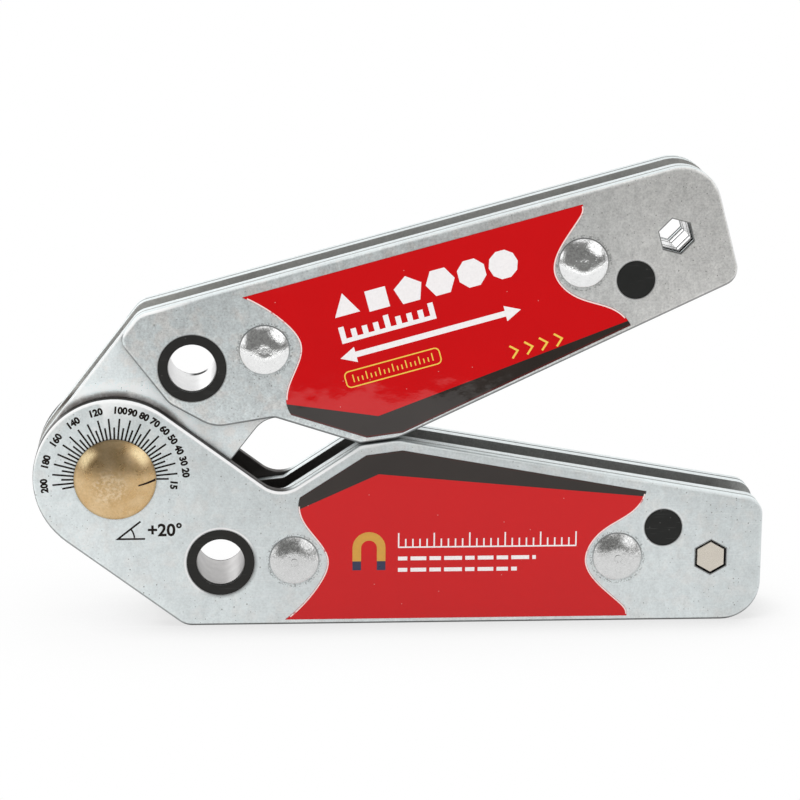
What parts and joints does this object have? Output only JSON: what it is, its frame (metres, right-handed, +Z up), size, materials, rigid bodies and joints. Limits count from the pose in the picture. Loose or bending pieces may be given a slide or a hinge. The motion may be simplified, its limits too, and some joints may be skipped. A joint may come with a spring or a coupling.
{
  "type": "adjustable angle welding magnet",
  "caption": "Two tapered magnetic arms of steel plates hinged on a brass pivot with an angle dial; opens to hold steel work for welding.",
  "frame": {"origin": "centre of the footprint: z = 0 is the plane of the base arm's straight outer edge, x = 0 halfway between hub and tip, y = 0 halfway through the thickness", "axes": "+Z up, +X along the base arm from hub to tip, -Y is the front face with the dial"},
  "size_m": [0.203, 0.0312, 0.1286],
  "materials": {
    "zinc_plated_steel": "bright zinc plate, lightly mottled and scuffed",
    "magnet": "ground, matt",
    "carrier_plastic": "moulded, matt",
    "machined_steel": "turned",
    "sleeve_steel": "bright bored",
    "ring_rubber": "hard rubber, smooth",
    "dowel_nylon": "satin",
    "plug_nickel": "nickel plated, satin",
    "rivet_aluminium": "formed head, polished",
    "pivot_brass": "turned, satin, peened centre",
    "washer_fibre": "vulcanised fibre",
    "label_film": "printed vinyl film, red with a black band"
  },
  "bodies": {
    "base_arm": {"base_outer_plate_front": "zinc_plated_steel", "base_outer_plate_rear": "zinc_plated_steel", "base_inner_plate_front": "zinc_plated_steel", "base_inner_plate_rear": "zinc_plated_steel", "base_magnet_carrier": "carrier_plastic", "base_magnets": "magnet", "base_rivet_spacers": "machined_steel", "base_lever_sleeve": "sleeve_steel", "base_sleeve_rings": "ring_rubber", "base_rivets": "rivet_aluminium", "base_tip_dowel": "dowel_nylon", "base_hex_bushing": "machined_steel", "base_hex_plug": "plug_nickel", "base_label_front": "label_film", "base_label_rear": "label_film", "friction_washers": "washer_fibre"},
    "swing_arm": {"swing_outer_plate_front": "zinc_plated_steel", "swing_outer_plate_rear": "zinc_plated_steel", "swing_inner_plate_front": "zinc_plated_steel", "swing_inner_plate_rear": "zinc_plated_steel", "swing_magnet_carrier": "carrier_plastic", "swing_magnets": "magnet", "swing_rivet_spacers": "machined_steel", "swing_lever_sleeve": "sleeve_steel", "swing_sleeve_rings": "ring_rubber", "swing_rivets": "rivet_aluminium", "swing_tip_dowel": "dowel_nylon", "swing_hex_bushing": "machined_steel", "swing_label_front": "label_film", "swing_label_rear": "label_film", "pivot_pin": "pivot_brass", "pivot_rear_cap": "pivot_brass", "pivot_spacer": "machined_steel"}
  },
  "joints": [
    {"name": "arm_hinge", "type": "hinge", "parent": "base_arm", "child": "swing_arm", "pos_m": [-0.0789, 0, 0.0425], "axis": [0, -1, 0], "range_deg": [0, 184.7]}
  ]
}
